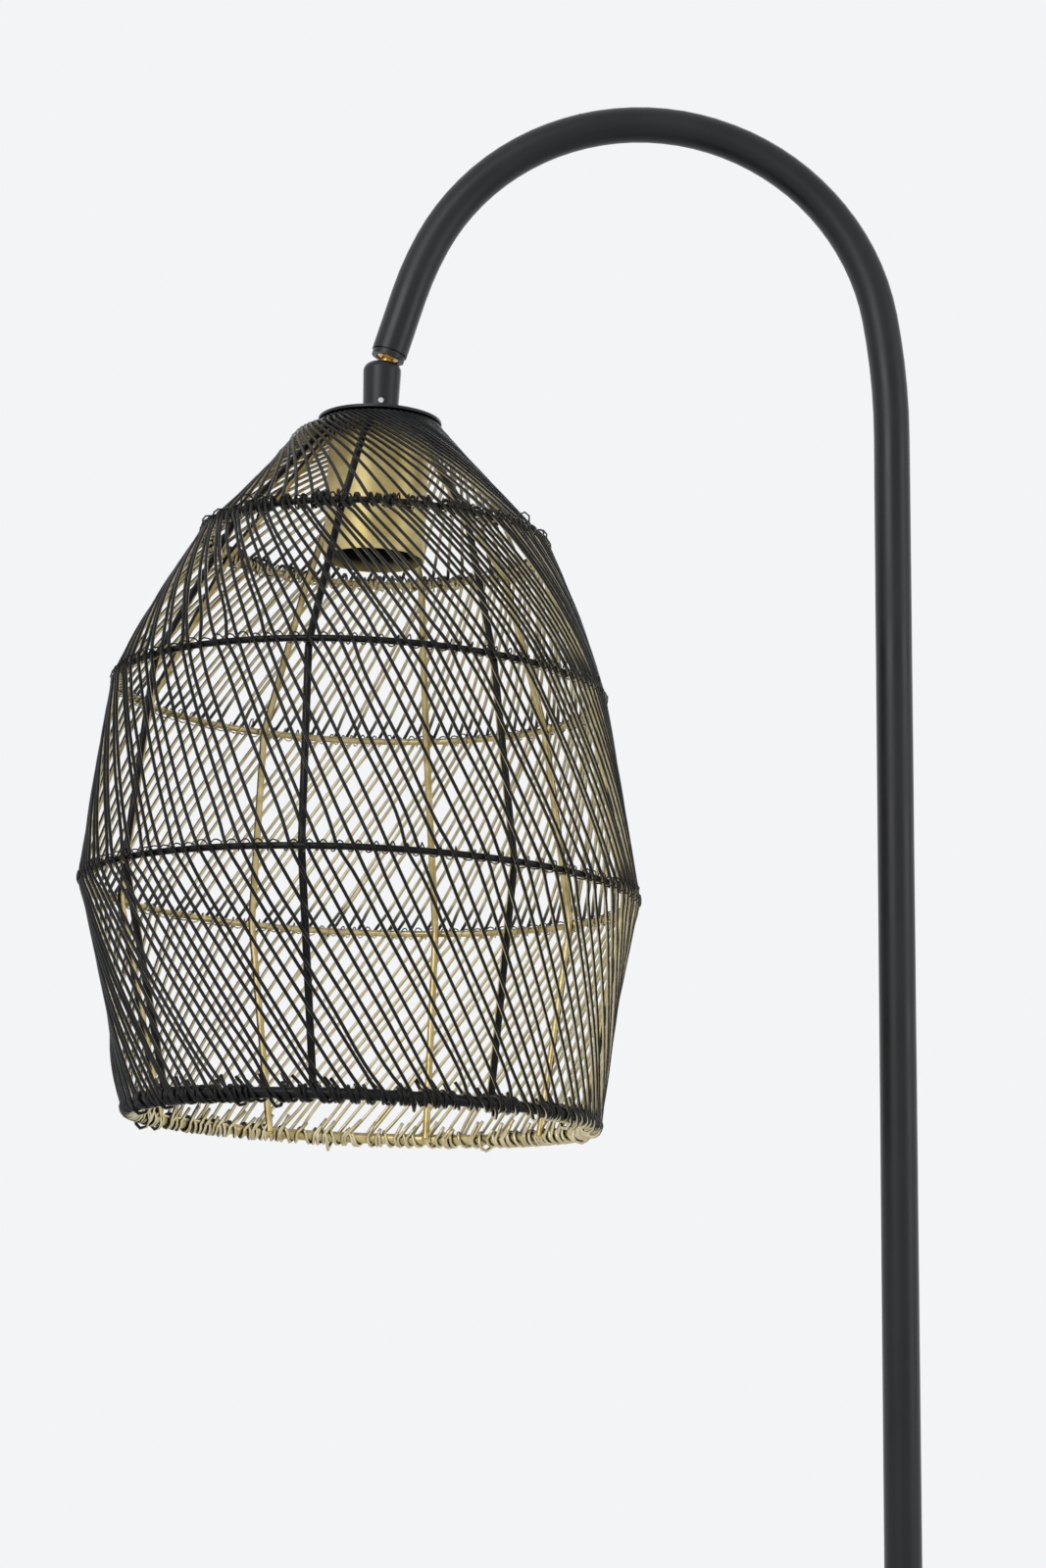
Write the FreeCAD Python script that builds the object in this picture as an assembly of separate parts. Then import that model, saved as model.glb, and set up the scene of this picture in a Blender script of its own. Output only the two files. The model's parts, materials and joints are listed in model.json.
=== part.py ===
import FreeCAD, Part
import math
import os
from collections import namedtuple

from FreeCAD import Vector

# Arched floor lamp with a hanging cage shade of twisted wires.
#
# Millimetres. The origin is the centre of the round base on the floor, +Z is up, and the arch
# bends over towards -X, so that the shade hangs beside the pole. Pieces of the head are made
# about their own axis, with the centre of the ball joint as origin, and are then hung in place.

# ---- Driving dimensions: stand -------------------------------------------------------------

overall_height = 1550.0
tube_diameter = 20.0
tube_wall = 1.5
pole_joint_height = 700.0       # where the lower pole meets the arched tube
shoulder_radius = 400.0         # the pole leans gently before it bends over
shoulder_turn = 10.0
arch_radius = 134.6
arch_turn = 143.0
tail_radius = 197.0             # the bend opens out again towards the tube's end
tail_turn = 10.0
tail_length = 35.0

base_diameter = 280.0
base_thickness = 10.0
base_edge_round = 3.0
pad_diameter = 24.0
pad_height = 2.5
pad_count = 4
pad_circle_diameter = 236.0
bolt_cover_diameter = 40.0
collar_diameter = 44.0
collar_height = 9.0
collar_slope = 5.0

foot_plug_length = 30.0
foot_bolt_diameter = 10.0
foot_bolt_grip = 22.0           # how far the bolt screws into the plug
bolt_head_width = 17.0
bolt_head_height = 5.0
foot_washer_diameter = 22.0
foot_washer_thickness = 1.5
head_recess_diameter = 26.0
head_recess_depth = 7.0
coupler_length = 70.0
coupler_bore = 10.0

lead_diameter = 4.8
lead_bend_radius = 8.0
inlet_height = 60.0
grommet_neck_diameter = 8.0
grommet_flange_diameter = 12.0
grommet_flange_thickness = 1.8

# ---- Driving dimensions: ball joint ----------------------------------------------------------

ball_diameter = 14.0
ball_reach = 13.0               # from the tube's end to the centre of the ball
neck_diameter = 7.0
stud_diameter = 10.0
stud_bore = 5.4
stud_bore_flare = 4.2           # how much the bore widens through the ball, for the lead to bend
stud_shoulder_diameter = 12.0
stud_shoulder_thickness = 1.6
stud_thread_past_nut = 0.6
mouth_tilt = 25.0               # largest angle between the neck and the housing
plug_flange_diameter = 18.5
plug_flange_thickness = 3.0
plug_flange_gap = 0.3
plug_recess_depth = 2.2
plug_recess_clearance = 0.5
plug_length = 17.0
stud_washer_thickness = 1.2
stud_washer_diameter = 16.0
stud_nut_width = 13.0
stud_nut_height = 4.0

housing_top_diameter = 21.2
housing_foot_diameter = 19.2
housing_bore = 15.1
housing_dome_radius = 5.0
housing_dome_rise = 1.5         # where the dome starts, above the centre of the ball
housing_foot_drop = 27.2        # from the centre of the ball to the foot of the housing
seat_top_drop = 1.0
seat_drop = 8.7
seat_hole_diameter = 6.4
spring_thickness = 0.8
spring_cone_height = 0.7
spring_outer_diameter = 14.8
spring_inner_diameter = 7.0
bush_top_drop = 11.9
grub_diameter = 3.0
grub_drop = 17.7
grub_length = 4.8               # brings its outer end level with the housing's tapered side

# ---- Driving dimensions: shade ---------------------------------------------------------------

shade_lean = 1.5                # degrees: the shade hangs with its foot swung away from the pole
plate_diameter = 68.6
plate_thickness = 1.5
top_ring_diameter = 62.0
top_ring_rod = 3.0
upper_ring_diameter = 184.0
upper_ring_depth = 70.5         # depths are measured down from the top of the plate
upper_ring_shift = 0.5          # the cage is a little crooked: rings sit this far towards +X
middle_ring_diameter = 262.4
middle_ring_depth = 155.0
middle_ring_shift = -4.5
wide_ring_diameter = 296.0
wide_ring_depth = 265.5
wide_ring_shift = 0.6
ring_rod = 3.6
rim_diameter = 249.0
rim_depth = 387.0
rim_shift = 7.0
rim_rod = 6.0
rib_rod = 4.0
rib_bend_radius = 30.0
rib_end_gap = 1.6               # left for the weld under the top ring
rib_bearings = (212.0, 258.0, 302.8, 352.0, 34.0, 72.0, 115.5, 157.3)
wire_count = 120
wire_rod = 1.2
wire_turns = (75.0, 33.0, 21.0, 33.0)   # how far each stretch winds round, ring to ring
wire_swells = (1.0, 3.5, 3.0, -2.5)     # how far each stretch stands out between its rings
wire_steps = (6, 2, 2, 2)       # straight runs in each stretch
wire_layer_step = 1.5           # every second wire starts this much further out
wire_layer_drop = 1.3           # and the ones between start this much lower
wire_hook_bend = 45.0           # each of the bends in the hook that holds a wire to the rim

# ---- Driving dimensions: lampholder ----------------------------------------------------------

nipple_diameter = 10.0
nipple_bore = 7.0
nipple_drop = 14.0              # from the centre of the ball to the top of the nipple
cup_diameter = 55.6
cup_height = 78.0
cup_wall = 0.8
cup_shoulder_radius = 18.0
lock_washer_diameter = 18.0
lock_washer_thickness = 1.2
lock_nut_width = 14.0
lock_nut_height = 3.0
holder_diameter = 40.4
holder_wall = 2.0
holder_neck_diameter = 17.0
holder_neck_height = 4.0
holder_dome_height = 13.0
holder_cap_height = 22.0
holder_mouth_depth = 68.0
holder_lip_height = 4.0
nipple_grip = 7.0               # how far the nipple screws into the holder's cap
insert_floor_depth = 33.0
insert_floor_thickness = 6.0
shell_outer_diameter = 28.2
shell_bore = 26.6
shell_mouth_depth = 64.0
shell_top_gap = 4.0             # room for the contact above the threaded shell
contact_width = 6.0
contact_length = 16.0
contact_thickness = 0.6
contact_rise = 2.0

# ---- Driving dimensions: clearances ----------------------------------------------------------

running_fit = 0.05              # on the radius, between a shaft and what it turns in
slip_fit = 0.05                 # on the radius, between pieces that are pushed together
ball_fit = 0.1                  # on the radius, between the ball and its seat
rod_gap = 0.15                  # between rods that cross and are held together
lead_clearance = 0.2            # on the radius, around the lead where it is gripped
largest_corner_share = 0.45     # of the run beside a bend, at most, is taken by its rounding

# ---- Sizes that follow -----------------------------------------------------------------------

tube_radius = tube_diameter / 2
tube_bore_radius = tube_radius - tube_wall
plate_bottom = pad_height
plate_top = plate_bottom + base_thickness
recess_ceiling = plate_bottom + head_recess_depth
inlet_radius = grommet_neck_diameter / 2
lead_radius = lead_diameter / 2
ball_radius = ball_diameter / 2
mouth_radius = neck_diameter / 2 / math.cos(math.radians(mouth_tilt))
mouth_slope = math.tan(math.radians(mouth_tilt))
plug_face_rise = ball_reach - plug_flange_gap - plug_flange_thickness
plug_top_rise = plug_face_rise + plug_flange_gap + plug_length
holder_radius = holder_diameter / 2
cup_top_depth = plate_thickness
washer_top_depth = cup_top_depth + cup_wall
nut_top_depth = washer_top_depth + lock_washer_thickness
cap_top_depth = nut_top_depth + lock_nut_height
cap_foot_depth = cap_top_depth + holder_cap_height

top_ring_depth = plate_thickness + rod_gap + top_ring_rod / 2

Ring = namedtuple("Ring", "radius depth shift rod")
top_ring = Ring(top_ring_diameter / 2, top_ring_depth, 0.0, top_ring_rod / 2)
upper_ring = Ring(upper_ring_diameter / 2, upper_ring_depth, upper_ring_shift, ring_rod / 2)
middle_ring = Ring(middle_ring_diameter / 2, middle_ring_depth, middle_ring_shift, ring_rod / 2)
wide_ring = Ring(wide_ring_diameter / 2, wide_ring_depth, wide_ring_shift, ring_rod / 2)
rim_ring = Ring(rim_diameter / 2, rim_depth, rim_shift, rim_rod / 2)
rings = (top_ring, upper_ring, middle_ring, wide_ring, rim_ring)

# A place on the cage: radius and bearing about a ring's centre, depth, and that centre's shift.
Place = namedtuple("Place", "radius bearing depth shift")


# ---- Shapes ----------------------------------------------------------------------------------


def disc(radius, low, high):
    """A round disc or bar about Z between two heights."""
    return Part.makeCylinder(radius, high - low, Vector(0, 0, low))


def hollow(outer, inner, low, high):
    """A disc with a round hole."""
    return disc(outer, low, high).cut(disc(inner, low, high))


def hexagon(width, low, high):
    """A six-sided bar about Z, measured across its flats."""
    corner = width / 2 / math.cos(math.radians(30))
    points = [polar(corner, 60 * k, low) for k in range(7)]
    return Part.Face(Part.makePolygon(points)).extrude(Vector(0, 0, high - low))


def polar(radius, bearing, height):
    """The point at a radius, a bearing in degrees from +X, and a height."""
    turn = math.radians(bearing)
    return Vector(radius * math.cos(turn), radius * math.sin(turn), height)


def turned(*corners):
    """A solid turned about Z from (radius, height) corners; a pair of them is an arc's mid and end."""
    here = Vector(corners[0][0], 0, corners[0][1])
    edges = []
    for corner in corners[1:] + corners[:1]:
        if isinstance(corner[0], tuple):
            middle, end = [Vector(radius, 0, height) for radius, height in corner]
            edges.append(Part.Arc(here, middle, end).toShape())
        else:
            end = Vector(corner[0], 0, corner[1])
            edges.append(Part.makeLine(here, end))
        here = end
    return Part.Face(Part.Wire(edges)).revolve(Vector(0, 0, 0), Vector(0, 0, 1), 360)


def arc_middle(centre, start, end):
    """The point halfway along the short arc from start to end, all as (radius, height) pairs."""
    radius = math.dist(centre, start)
    halfway = [(a + b) / 2 - c for a, b, c in zip(start, end, centre)]
    scale = radius / math.hypot(*halfway)
    return tuple(c + scale * h for c, h in zip(centre, halfway))


def rod_along(path, radius):
    """A round rod with path as its centre line, mitred where the path has corners."""
    first = path.Edges[0]
    start = first.valueAt(first.FirstParameter)
    heading = first.tangentAt(first.FirstParameter)
    section = Part.Wire(Part.makeCircle(radius, start, heading))
    return path.makePipeShell([section], True, False, 1)


def rounded(points, radius):
    """Straight runs from point to point, joined by arcs that touch both runs."""
    edges = []
    here = points[0]
    for before, corner, after in zip(points, points[1:], points[2:]):
        back, ahead = before - corner, after - corner
        half_opening = back.getAngle(ahead) / 2
        longest_cut = largest_corner_share * min(back.Length, ahead.Length)
        cut = min(radius / math.tan(half_opening), longest_cut)
        start = corner + back.normalize() * cut
        end = corner + ahead.normalize() * cut
        inward = (back + ahead).normalize()
        depth = cut / math.cos(half_opening) - cut * math.tan(half_opening)
        edges += [Part.makeLine(here, start), Part.Arc(start, corner + inward * depth, end).toShape()]
        here = end
    return Part.Wire(edges + [Part.makeLine(here, points[-1])])


def bend(start, heading, radius, turn):
    """An arc in the XZ plane that turns left by turn degrees; gives the edge and its far end."""
    before = math.radians(heading)
    centre = start + Vector(-math.sin(before), 0, math.cos(before)) * radius
    points = []
    for share in (0.5, 1.0):
        angle = before + math.radians(turn * share)
        points.append(centre + Vector(math.sin(angle), 0, -math.cos(angle)) * radius)
    return Part.Arc(start, *points).toShape(), points[1]


def shifted(shape, offset):
    """A copy of the shape, moved."""
    copy = shape.copy()
    copy.translate(offset)
    return copy


# ---- The line of the tube --------------------------------------------------------------------

bends = ((shoulder_radius, shoulder_turn), (arch_radius, arch_turn), (tail_radius, tail_turn))


def arch_rise():
    """How far the tube's centre line climbs from the start of its bends to the top of the arch."""
    rise, heading = 0.0, 90.0
    for radius, turn in bends:
        after = min(heading + turn, 180.0)
        rise += radius * (math.cos(math.radians(heading)) - math.cos(math.radians(after)))
        heading = after
    return rise


def arch_line(start_height):
    """Edges of the tube's centre line from start_height up the pole and round to its open end."""
    here = Vector(0, 0, overall_height - tube_radius - arch_rise())
    heading = 90.0
    edges = [Part.makeLine(Vector(0, 0, start_height), here)]
    for radius, turn in bends:
        edge, here = bend(here, heading, radius, turn)
        edges.append(edge)
        heading += turn
    return edges, here, heading


tube_edges, tail_start, end_heading = arch_line(pole_joint_height)
tail_axis = Vector(math.cos(math.radians(end_heading)), 0, math.sin(math.radians(end_heading)))
tube_end = tail_start + tail_axis * tail_length
ball_centre = tube_end + tail_axis * ball_reach
tail_lean = 270.0 - end_heading     # degrees between the tube's end and the vertical


def on_tail(shape):
    """Puts a piece made about the tube's end axis, with the ball's centre as origin, in place."""
    shape.rotate(Vector(0, 0, 0), Vector(0, 1, 0), tail_lean)
    shape.translate(ball_centre)
    return shape


def on_shade(shape):
    """Puts a piece made about the shade's axis, with the ball's centre as origin, in place."""
    shape.rotate(Vector(0, 0, 0), Vector(0, 1, 0), shade_lean)
    shape.translate(ball_centre)
    return shape


def below_plate(shape):
    """Puts a piece made with the top of the shade's plate as origin in place."""
    shape.translate(Vector(0, 0, -housing_foot_drop))
    return on_shade(shape)


# ---- Stand -----------------------------------------------------------------------------------


def base_plate():
    edge = plate_top - base_edge_round
    rim = base_diameter / 2
    middle = arc_middle((rim - base_edge_round, edge), (rim, edge), (rim - base_edge_round, plate_top))
    plate = turned(
        (0, plate_bottom),
        (rim, plate_bottom),
        (rim, edge),
        (middle, (rim - base_edge_round, plate_top)),
        (0, plate_top),
    )
    plate = plate.cut(disc(foot_bolt_diameter / 2 + running_fit, plate_bottom, plate_top))
    return plate.cut(disc(head_recess_diameter / 2, plate_bottom, recess_ceiling))


def base_pads():
    pads = []
    for k in range(pad_count):
        place = polar(pad_circle_diameter / 2, 360 * (k + 0.5) / pad_count, 0)
        pads.append(shifted(disc(pad_diameter / 2, 0, pad_height), place))
    return Part.makeCompound(pads)


def bolt_cover():
    return disc(bolt_cover_diameter / 2, 0, pad_height)


def foot_washer():
    low = recess_ceiling - foot_washer_thickness
    return hollow(foot_washer_diameter / 2, foot_bolt_diameter / 2 + running_fit, low, recess_ceiling)


def foot_bolt():
    under_head = recess_ceiling - foot_washer_thickness
    head = hexagon(bolt_head_width, under_head - bolt_head_height, under_head)
    shank = disc(foot_bolt_diameter / 2, under_head, plate_top + foot_bolt_grip)
    return head.fuse(shank).removeSplitter()


def foot_plug():
    outer = tube_bore_radius - slip_fit
    return hollow(outer, foot_bolt_diameter / 2 + slip_fit, plate_top, plate_top + foot_plug_length)


def foot_collar():
    inner = tube_radius + slip_fit
    outer = collar_diameter / 2
    top = plate_top + collar_height
    return turned(
        (inner, plate_top),
        (outer, plate_top),
        (outer, top - collar_slope),
        (outer - collar_slope, top),
        (inner, top),
    )


def lower_pole():
    tube = hollow(tube_radius, tube_bore_radius, plate_top, pole_joint_height)
    inlet = Part.makeCylinder(inlet_radius, tube_diameter, Vector(0, 0, inlet_height), Vector(1, 0, 0))
    return tube.cut(inlet)


def pole_coupler():
    half = coupler_length / 2
    low, high = pole_joint_height - half, pole_joint_height + half
    return hollow(tube_bore_radius - slip_fit, coupler_bore / 2, low, high)


def arch_tube():
    path = Part.Wire(tube_edges + [Part.makeLine(tail_start, tube_end)])
    return rod_along(path, tube_radius).cut(rod_along(path, tube_bore_radius))


def cable_grommet():
    flange_end = tube_radius + grommet_flange_thickness
    along = Vector(1, 0, 0)
    middle = Vector(0, 0, inlet_height)
    inner_end = Vector(tube_bore_radius, 0, inlet_height)
    neck = Part.makeCylinder(inlet_radius - slip_fit, flange_end - tube_bore_radius, inner_end, along)
    flange = Part.makeCylinder(grommet_flange_diameter / 2, flange_end, middle, along)
    flange = flange.cut(disc(tube_radius + slip_fit, 0, 2 * inlet_height))
    hole = Part.makeCylinder(lead_radius + lead_clearance, flange_end, middle, along)
    return flange.fuse(neck).cut(hole).removeSplitter()


def pole_lead():
    outside = Vector(tube_radius + grommet_flange_thickness, 0, inlet_height)
    bend_start = Vector(lead_bend_radius, 0, inlet_height)
    bend_end = Vector(0, 0, inlet_height + lead_bend_radius)
    reach = lead_bend_radius * (1 - math.sqrt(0.5))
    bend_middle = Vector(reach, 0, inlet_height + reach)
    edges, tail, _ = arch_line(bend_end.z)
    stop = ball_centre - tail_axis * (ball_fit + lead_radius / 2)
    path = [Part.makeLine(outside, bend_start), Part.Arc(bend_start, bend_middle, bend_end).toShape()]
    path += edges + [Part.makeLine(tail, stop)]
    return rod_along(Part.Wire(path), lead_radius)


# ---- Ball joint ------------------------------------------------------------------------------


def arch_end_plug():
    face = plug_face_rise
    shoulder = face + plug_flange_thickness
    recess = stud_shoulder_diameter / 2 + plug_recess_clearance
    bore = stud_diameter / 2 + running_fit
    plug = turned(
        (bore, face + plug_recess_depth),
        (recess, face + plug_recess_depth),
        (recess, face),
        (plug_flange_diameter / 2, face),
        (plug_flange_diameter / 2, shoulder),
        (tube_bore_radius - slip_fit, shoulder),
        (tube_bore_radius - slip_fit, plug_top_rise),
        (bore, plug_top_rise),
    )
    return on_tail(plug)


def ball_stud():
    neck = neck_diameter / 2
    stud = stud_diameter / 2
    bore = stud_bore / 2
    shoulder_top = plug_face_rise + plug_recess_depth - ball_fit
    shoulder_foot = shoulder_top - stud_shoulder_thickness
    top = plug_top_rise + stud_washer_thickness + stud_nut_height + stud_thread_past_nut
    throat = lead_radius / 2
    ball = Part.makeSphere(ball_radius)
    shank = disc(neck, 0, shoulder_foot)
    shoulder = disc(stud_shoulder_diameter / 2, shoulder_foot, shoulder_top)
    journal = disc(stud, shoulder_top, top)
    flare = turned(
        (0, throat),
        (bore, throat),
        (bore + stud_bore_flare, -ball_radius),
        (0, -ball_radius),
    )
    solid = ball.fuse([shank, shoulder, journal]).cut(disc(bore, -ball_radius, top))
    return on_tail(solid.cut(flare).removeSplitter())


def stud_washer():
    low = plug_top_rise + ball_fit
    bore = stud_diameter / 2 + slip_fit
    return on_tail(hollow(stud_washer_diameter / 2, bore, low, low + stud_washer_thickness))


def stud_nut():
    low = plug_top_rise + ball_fit + stud_washer_thickness
    nut = hexagon(stud_nut_width, low, low + stud_nut_height)
    return on_tail(nut.cut(disc(stud_diameter / 2 + slip_fit, low, low + stud_nut_height)))


def seat_cup():
    top, foot = -seat_top_drop, -seat_drop
    cup = disc(housing_bore / 2 - running_fit, foot, top)
    cup = cup.cut(Part.makeSphere(ball_radius + ball_fit))
    return on_shade(cup.cut(disc(seat_hole_diameter / 2, foot, top)))


def joint_housing():
    top_radius = housing_top_diameter / 2
    dome_centre = (top_radius - housing_dome_radius, housing_dome_rise)
    dome_start = (top_radius, housing_dome_rise)
    dome_top = (dome_centre[0], housing_dome_rise + housing_dome_radius)
    bore = housing_bore / 2
    shell = turned(
        (bore, -housing_foot_drop),
        (housing_foot_diameter / 2, -housing_foot_drop),
        dome_start,
        (arc_middle(dome_centre, dome_start, dome_top), dome_top),
        (0, dome_top[1]),
        (0, 0),
        (bore, 0),
    )
    shell = shell.cut(Part.makeSphere(ball_radius + ball_fit))
    edge = mouth_radius + ball_fit
    flare = turned(
        (0, 0),
        (edge, 0),
        (edge + ball_diameter * mouth_slope, ball_diameter),
        (0, ball_diameter),
    )
    shell = shell.cut(flare)
    return on_shade(shell.cut(grub_hole()))


def grub_bar(radius, length):
    """A bar on the grub screw's line, from the nipple outwards, on the side away from +Y."""
    start = Vector(0, -nipple_diameter / 2 - slip_fit, -grub_drop)
    return Part.makeCylinder(radius, length, start, Vector(0, -1, 0))


def grub_hole():
    return grub_bar(grub_diameter / 2 + slip_fit, housing_top_diameter / 2)


def grub_screw():
    return on_shade(grub_bar(grub_diameter / 2, grub_length))


def disc_springs():
    outer = spring_outer_diameter / 2
    inner = spring_inner_diameter / 2
    stack = 2 * (spring_thickness + spring_cone_height)
    middle = -(seat_drop + bush_top_drop) / 2
    low = middle - stack / 2
    lower = turned(
        (outer, low),
        (outer, low + spring_thickness),
        (inner, low + spring_thickness + spring_cone_height),
        (inner, low + spring_cone_height),
    )
    upper = lower.mirror(Vector(0, 0, middle), Vector(0, 0, 1))
    return on_shade(Part.makeCompound([lower, upper]))


def housing_bush():
    foot, top = -housing_foot_drop, -bush_top_drop
    bush = hollow(housing_bore / 2 - slip_fit, nipple_diameter / 2 + slip_fit, foot, top)
    return on_shade(bush.cut(grub_hole()))


# ---- Cage ------------------------------------------------------------------------------------


def point_at(place):
    """The point of a place on the cage, with the top of the shade's plate as origin."""
    return polar(place.radius, place.bearing, -place.depth) + Vector(place.shift, 0, 0)


def outward(radial, downward):
    """The unit normal, away from the axis, of a line that runs radial out for downward down."""
    length = math.hypot(radial, downward)
    return downward / length, radial / length


def stretch_of_wire(k, upper, lower):
    """Places along the wires' stretch k, from upper up to but not at lower."""
    start = polar(upper.radius, upper.bearing, -upper.depth)
    end = polar(lower.radius, lower.bearing, -lower.depth)
    places = []
    for step in range(wire_steps[k]):
        share = step / wire_steps[k]
        straight = start + (end - start) * share
        radius = upper.radius + (lower.radius - upper.radius) * share
        radius += 4 * share * (1 - share) * wire_swells[k]
        bearing = math.degrees(math.atan2(straight.y, straight.x))
        shift = upper.shift + (lower.shift - upper.shift) * share
        places.append(Place(radius, bearing, -straight.z, shift))
    return places


def wire_normals(k):
    """Normals of the wires' two straight runs where they meet ring k, above and below it."""
    here = Place(rings[k].radius, 0.0, rings[k].depth, 0.0)
    normals = []
    if k > 0:
        above = Place(rings[k - 1].radius, -wire_turns[k - 1], rings[k - 1].depth, 0.0)
        last = stretch_of_wire(k - 1, above, here)[-1]
        drawn_in = last.radius * math.cos(math.radians(last.bearing))
        normals.append(outward(here.radius - drawn_in, here.depth - last.depth))
    if k < len(rings) - 1:
        below = Place(rings[k + 1].radius, wire_turns[k], rings[k + 1].depth, 0.0)
        first = stretch_of_wire(k, here, below)[1]
        drawn_in = first.radius * math.cos(math.radians(first.bearing))
        normals.append(outward(drawn_in - here.radius, first.depth - here.depth))
    return normals


def beside(k, bearing, distance):
    """The place of a rod's bend that clears ring k: outside it, or inside if negative."""
    ring = rings[k]
    normals = wire_normals(k)
    radial = sum(normal[0] for normal in normals)
    upward = sum(normal[1] for normal in normals)
    length = math.hypot(radial, upward)
    radial, upward = radial / length, upward / length
    opening = radial * normals[0][0] + upward * normals[0][1]
    reach = distance / opening
    return Place(ring.radius + reach * radial, bearing, ring.depth - reach * upward, ring.shift)


def wire_places(layer):
    """The corners of one wire, from under the plate to the end of its hook below the rim."""
    clear = wire_rod / 2 + rod_gap
    start = top_ring.radius + top_ring.rod + clear + rod_gap + layer * wire_layer_step
    top = plate_thickness + clear + (1 - layer) * wire_layer_drop
    holds = [Place(start, 0.0, top, 0.0)]
    for k in (1, 2, 3):
        holds.append(beside(k, sum(wire_turns[:k]), rings[k].rod + clear))
    half_step = math.radians(wire_hook_bend / 2)
    reach = (rim_ring.rod + clear) / math.cos(half_step)
    hook = []
    for k in (1, 3, 5):
        radius = rim_ring.radius + reach * math.cos(k * half_step)
        depth = rim_ring.depth + reach * math.sin(k * half_step)
        hook.append(Place(radius, sum(wire_turns), depth, rim_ring.shift))
    places = []
    for k, (upper, lower) in enumerate(zip(holds, holds[1:] + hook[:1])):
        places += stretch_of_wire(k, upper, lower)
    return places + hook


def cage_wires():
    wires = []
    for k in range(wire_count):
        start = 360.0 * k / wire_count
        corners = []
        for place in wire_places(k % 2):
            corners.append(point_at(place._replace(bearing=start + place.bearing)))
        wires.append(rod_along(Part.makePolygon(corners), wire_rod / 2))
    return below_plate(Part.makeCompound(wires))


def rib(bearing):
    clear = rib_rod / 2 + rod_gap
    top = top_ring.depth + top_ring.rod + rib_end_gap
    places = [Place(top_ring.radius, bearing, top, top_ring.shift)]
    places += [beside(k, bearing, -rings[k].rod - clear) for k in (1, 2, 3)]
    foot = rim_ring.radius - rim_ring.rod - clear
    places.append(Place(foot, bearing, rim_ring.depth, rim_ring.shift))
    points = [point_at(place) for place in places]
    return below_plate(rod_along(rounded(points, rib_bend_radius), rib_rod / 2))


def cage_ring(ring):
    return below_plate(Part.makeTorus(ring.radius, ring.rod, Vector(ring.shift, 0, -ring.depth)))


def top_plate():
    return below_plate(hollow(plate_diameter / 2, nipple_diameter / 2 + slip_fit, -plate_thickness, 0))


# ---- Lampholder ------------------------------------------------------------------------------


def threaded_nipple():
    top = housing_foot_drop - nipple_drop
    return below_plate(hollow(nipple_diameter / 2, nipple_bore / 2, -cap_top_depth - nipple_grip, top))


def holder_cup():
    def shape(radius, corner, top, foot):
        centre = (radius - corner, -top - corner)
        start, end = (radius - corner, -top), (radius, -top - corner)
        corner_arc = (arc_middle(centre, start, end), end)
        return turned((0, -top), start, corner_arc, (radius, -foot), (0, -foot))

    radius = cup_diameter / 2
    foot = cup_top_depth + cup_height
    outside = shape(radius, cup_shoulder_radius, cup_top_depth, foot)
    inside = shape(radius - cup_wall, cup_shoulder_radius - cup_wall, cup_top_depth + cup_wall, foot)
    cup = outside.cut(inside)
    return below_plate(cup.cut(disc(nipple_diameter / 2 + slip_fit, -washer_top_depth, -cup_top_depth)))


def lock_washer():
    bore = nipple_diameter / 2 + slip_fit
    return below_plate(hollow(lock_washer_diameter / 2, bore, -nut_top_depth, -washer_top_depth))


def lock_nut():
    nut = hexagon(lock_nut_width, -cap_top_depth, -nut_top_depth)
    hole = disc(nipple_diameter / 2 + slip_fit, -cap_top_depth, -nut_top_depth)
    return below_plate(nut.cut(hole))


def holder_cap():
    neck = holder_neck_diameter / 2
    bore = nipple_diameter / 2 + slip_fit
    top = -cap_top_depth
    brow = top - holder_neck_height - holder_dome_height
    inner = holder_radius - holder_wall
    outside = turned(
        (bore, top),
        (neck, top),
        (neck, top - holder_neck_height),
        (holder_radius, brow),
        (holder_radius, -cap_foot_depth),
        (inner, -cap_foot_depth),
        (inner, brow),
        (bore, top - holder_neck_height - holder_wall),
    )
    return below_plate(outside)


def holder_body():
    inner = holder_radius - holder_wall
    lip = shell_bore / 2 + holder_wall
    mouth = -holder_mouth_depth
    body = turned(
        (inner, -cap_foot_depth),
        (holder_radius, -cap_foot_depth),
        (holder_radius, mouth),
        (lip, mouth),
        (lip, mouth + holder_lip_height - holder_wall),
        (inner, mouth + holder_lip_height),
    )
    return below_plate(body)


def socket_insert():
    outer = holder_radius - holder_wall - slip_fit
    inner = shell_outer_diameter / 2 + slip_fit
    top = -insert_floor_depth
    floor = top - insert_floor_thickness
    foot = -holder_mouth_depth + holder_lip_height + slip_fit
    insert = turned((0, top), (outer, top), (outer, foot), (inner, foot), (inner, floor), (0, floor))
    return below_plate(insert)


def socket_shell():
    top = -insert_floor_depth - insert_floor_thickness - shell_top_gap
    return below_plate(hollow(shell_outer_diameter / 2, shell_bore / 2, -shell_mouth_depth, top))


def centre_contact():
    floor = -insert_floor_depth - insert_floor_thickness
    half = contact_length / 2
    corner = Vector(-half, -contact_width / 2, floor - contact_thickness)
    base = Part.makeBox(half, contact_width, contact_thickness, corner)
    low = floor - contact_rise
    corners = [
        (0, floor),
        (0, floor - contact_thickness),
        (half, low - contact_thickness),
        (half, low),
    ]
    points = [Vector(x, -contact_width / 2, z) for x, z in corners]
    tongue = Part.Face(Part.makePolygon(points + points[:1])).extrude(Vector(0, contact_width, 0))
    return below_plate(base.fuse(tongue).removeSplitter())


def shade_lead():
    top = housing_foot_drop - lead_radius
    return below_plate(disc(lead_radius, -insert_floor_depth, top))


# ---- Write the pieces ------------------------------------------------------------------------


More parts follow.
